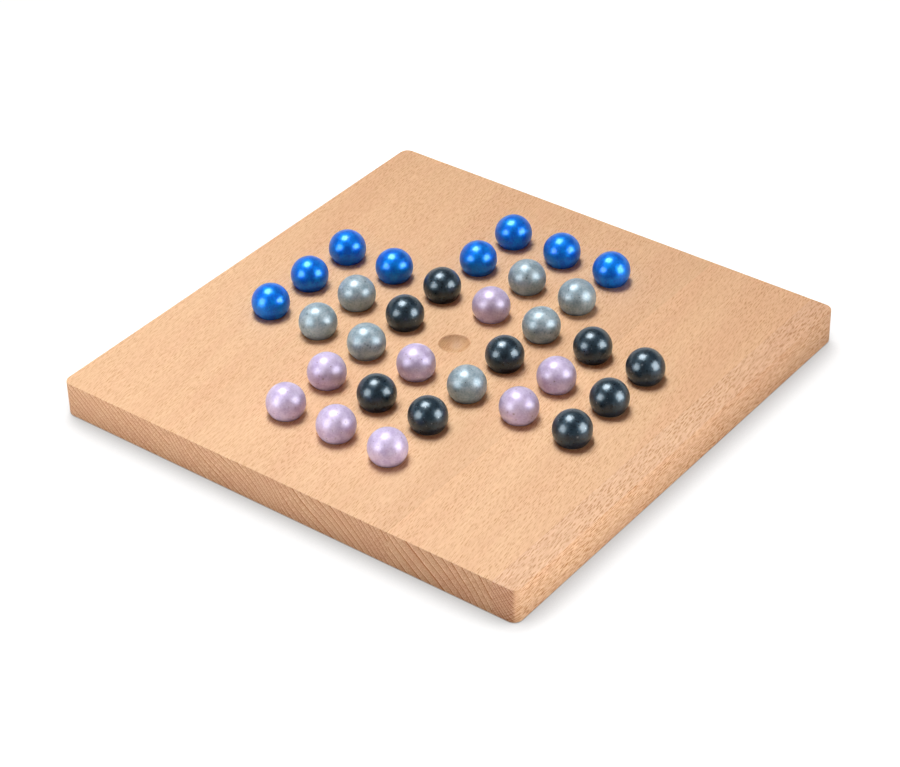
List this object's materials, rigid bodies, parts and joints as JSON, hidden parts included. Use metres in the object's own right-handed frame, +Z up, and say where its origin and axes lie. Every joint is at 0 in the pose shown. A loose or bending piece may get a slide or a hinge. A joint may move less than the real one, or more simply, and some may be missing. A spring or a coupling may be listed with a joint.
{
  "type": "marble solitaire board game",
  "caption": "Square edge-glued wooden peg-solitaire board with a cross of round seats, each but the middle one holding a loose glass marble.",
  "frame": {"origin": "centre of the board's underside, on the surface that it stands on", "axes": "+Z up out of the seats, +Y along the wood's grain, +X across it towards the narrow edge strip"},
  "size_m": [0.225, 0.225, 0.0288],
  "materials": {
    "beech": "sanded and oiled, satin",
    "beech_edge_strip": "sanded and oiled, satin",
    "marble_blue": "opaque lustre glaze, glossy",
    "marble_grey": "opaque lustre glaze, glossy",
    "marble_dark": "opaque lustre glaze, glossy",
    "marble_lilac": "opaque lustre glaze, glossy"
  },
  "bodies": {
    "board": {"board_edge_strip": "beech_edge_strip", "board_stave_1": "beech", "board_stave_2": "beech", "board_stave_3": "beech", "board_stave_4": "beech"},
    "blue_marble_1": {"blue_marble_1": "marble_blue"},
    "blue_marble_2": {"blue_marble_2": "marble_blue"},
    "blue_marble_3": {"blue_marble_3": "marble_blue"},
    "blue_marble_4": {"blue_marble_4": "marble_blue"},
    "blue_marble_5": {"blue_marble_5": "marble_blue"},
    "blue_marble_6": {"blue_marble_6": "marble_blue"},
    "blue_marble_7": {"blue_marble_7": "marble_blue"},
    "blue_marble_8": {"blue_marble_8": "marble_blue"},
    "dark_marble_1": {"dark_marble_1": "marble_dark"},
    "dark_marble_2": {"dark_marble_2": "marble_dark"},
    "dark_marble_3": {"dark_marble_3": "marble_dark"},
    "dark_marble_4": {"dark_marble_4": "marble_dark"},
    "dark_marble_5": {"dark_marble_5": "marble_dark"},
    "dark_marble_6": {"dark_marble_6": "marble_dark"},
    "dark_marble_7": {"dark_marble_7": "marble_dark"},
    "dark_marble_8": {"dark_marble_8": "marble_dark"},
    "dark_marble_9": {"dark_marble_9": "marble_dark"},
    "grey_marble_1": {"grey_marble_1": "marble_grey"},
    "grey_marble_2": {"grey_marble_2": "marble_grey"},
    "grey_marble_3": {"grey_marble_3": "marble_grey"},
    "grey_marble_4": {"grey_marble_4": "marble_grey"},
    "grey_marble_5": {"grey_marble_5": "marble_grey"},
    "grey_marble_6": {"grey_marble_6": "marble_grey"},
    "grey_marble_7": {"grey_marble_7": "marble_grey"},
    "lilac_marble_1": {"lilac_marble_1": "marble_lilac"},
    "lilac_marble_2": {"lilac_marble_2": "marble_lilac"},
    "lilac_marble_3": {"lilac_marble_3": "marble_lilac"},
    "lilac_marble_4": {"lilac_marble_4": "marble_lilac"},
    "lilac_marble_5": {"lilac_marble_5": "marble_lilac"},
    "lilac_marble_6": {"lilac_marble_6": "marble_lilac"},
    "lilac_marble_7": {"lilac_marble_7": "marble_lilac"},
    "lilac_marble_8": {"lilac_marble_8": "marble_lilac"}
  },
  "joints": [
    {"name": "blue_marble_1_lift", "type": "slide", "parent": "board", "child": "blue_marble_1", "axis": [0, 0, 1], "range_m": [0, 0.03]},
    {"name": "blue_marble_2_lift", "type": "slide", "parent": "board", "child": "blue_marble_2", "axis": [0, 0, 1], "range_m": [0, 0.03]},
    {"name": "blue_marble_3_lift", "type": "slide", "parent": "board", "child": "blue_marble_3", "axis": [0, 0, 1], "range_m": [0, 0.03]},
    {"name": "blue_marble_4_lift", "type": "slide", "parent": "board", "child": "blue_marble_4", "axis": [0, 0, 1], "range_m": [0, 0.03]},
    {"name": "blue_marble_5_lift", "type": "slide", "parent": "board", "child": "blue_marble_5", "axis": [0, 0, 1], "range_m": [0, 0.03]},
    {"name": "blue_marble_6_lift", "type": "slide", "parent": "board", "child": "blue_marble_6", "axis": [0, 0, 1], "range_m": [0, 0.03]},
    {"name": "blue_marble_7_lift", "type": "slide", "parent": "board", "child": "blue_marble_7", "axis": [0, 0, 1], "range_m": [0, 0.03]},
    {"name": "blue_marble_8_lift", "type": "slide", "parent": "board", "child": "blue_marble_8", "axis": [0, 0, 1], "range_m": [0, 0.03]},
    {"name": "dark_marble_1_lift", "type": "slide", "parent": "board", "child": "dark_marble_1", "axis": [0, 0, 1], "range_m": [0, 0.03]},
    {"name": "dark_marble_2_lift", "type": "slide", "parent": "board", "child": "dark_marble_2", "axis": [0, 0, 1], "range_m": [0, 0.03]},
    {"name": "dark_marble_3_lift", "type": "slide", "parent": "board", "child": "dark_marble_3", "axis": [0, 0, 1], "range_m": [0, 0.03]},
    {"name": "dark_marble_4_lift", "type": "slide", "parent": "board", "child": "dark_marble_4", "axis": [0, 0, 1], "range_m": [0, 0.03]},
    {"name": "dark_marble_5_lift", "type": "slide", "parent": "board", "child": "dark_marble_5", "axis": [0, 0, 1], "range_m": [0, 0.03]},
    {"name": "dark_marble_6_lift", "type": "slide", "parent": "board", "child": "dark_marble_6", "axis": [0, 0, 1], "range_m": [0, 0.03]},
    {"name": "dark_marble_7_lift", "type": "slide", "parent": "board", "child": "dark_marble_7", "axis": [0, 0, 1], "range_m": [0, 0.03]},
    {"name": "dark_marble_8_lift", "type": "slide", "parent": "board", "child": "dark_marble_8", "axis": [0, 0, 1], "range_m": [0, 0.03]},
    {"name": "dark_marble_9_lift", "type": "slide", "parent": "board", "child": "dark_marble_9", "axis": [0, 0, 1], "range_m": [0, 0.03]},
    {"name": "grey_marble_1_lift", "type": "slide", "parent": "board", "child": "grey_marble_1", "axis": [0, 0, 1], "range_m": [0, 0.03]},
    {"name": "grey_marble_2_lift", "type": "slide", "parent": "board", "child": "grey_marble_2", "axis": [0, 0, 1], "range_m": [0, 0.03]},
    {"name": "grey_marble_3_lift", "type": "slide", "parent": "board", "child": "grey_marble_3", "axis": [0, 0, 1], "range_m": [0, 0.03]},
    {"name": "grey_marble_4_lift", "type": "slide", "parent": "board", "child": "grey_marble_4", "axis": [0, 0, 1], "range_m": [0, 0.03]},
    {"name": "grey_marble_5_lift", "type": "slide", "parent": "board", "child": "grey_marble_5", "axis": [0, 0, 1], "range_m": [0, 0.03]},
    {"name": "grey_marble_6_lift", "type": "slide", "parent": "board", "child": "grey_marble_6", "axis": [0, 0, 1], "range_m": [0, 0.03]},
    {"name": "grey_marble_7_lift", "type": "slide", "parent": "board", "child": "grey_marble_7", "axis": [0, 0, 1], "range_m": [0, 0.03]},
    {"name": "lilac_marble_1_lift", "type": "slide", "parent": "board", "child": "lilac_marble_1", "axis": [0, 0, 1], "range_m": [0, 0.03]},
    {"name": "lilac_marble_2_lift", "type": "slide", "parent": "board", "child": "lilac_marble_2", "axis": [0, 0, 1], "range_m": [0, 0.03]},
    {"name": "lilac_marble_3_lift", "type": "slide", "parent": "board", "child": "lilac_marble_3", "axis": [0, 0, 1], "range_m": [0, 0.03]},
    {"name": "lilac_marble_4_lift", "type": "slide", "parent": "board", "child": "lilac_marble_4", "axis": [0, 0, 1], "range_m": [0, 0.03]},
    {"name": "lilac_marble_5_lift", "type": "slide", "parent": "board", "child": "lilac_marble_5", "axis": [0, 0, 1], "range_m": [0, 0.03]},
    {"name": "lilac_marble_6_lift", "type": "slide", "parent": "board", "child": "lilac_marble_6", "axis": [0, 0, 1], "range_m": [0, 0.03]},
    {"name": "lilac_marble_7_lift", "type": "slide", "parent": "board", "child": "lilac_marble_7", "axis": [0, 0, 1], "range_m": [0, 0.03]},
    {"name": "lilac_marble_8_lift", "type": "slide", "parent": "board", "child": "lilac_marble_8", "axis": [0, 0, 1], "range_m": [0, 0.03]}
  ]
}
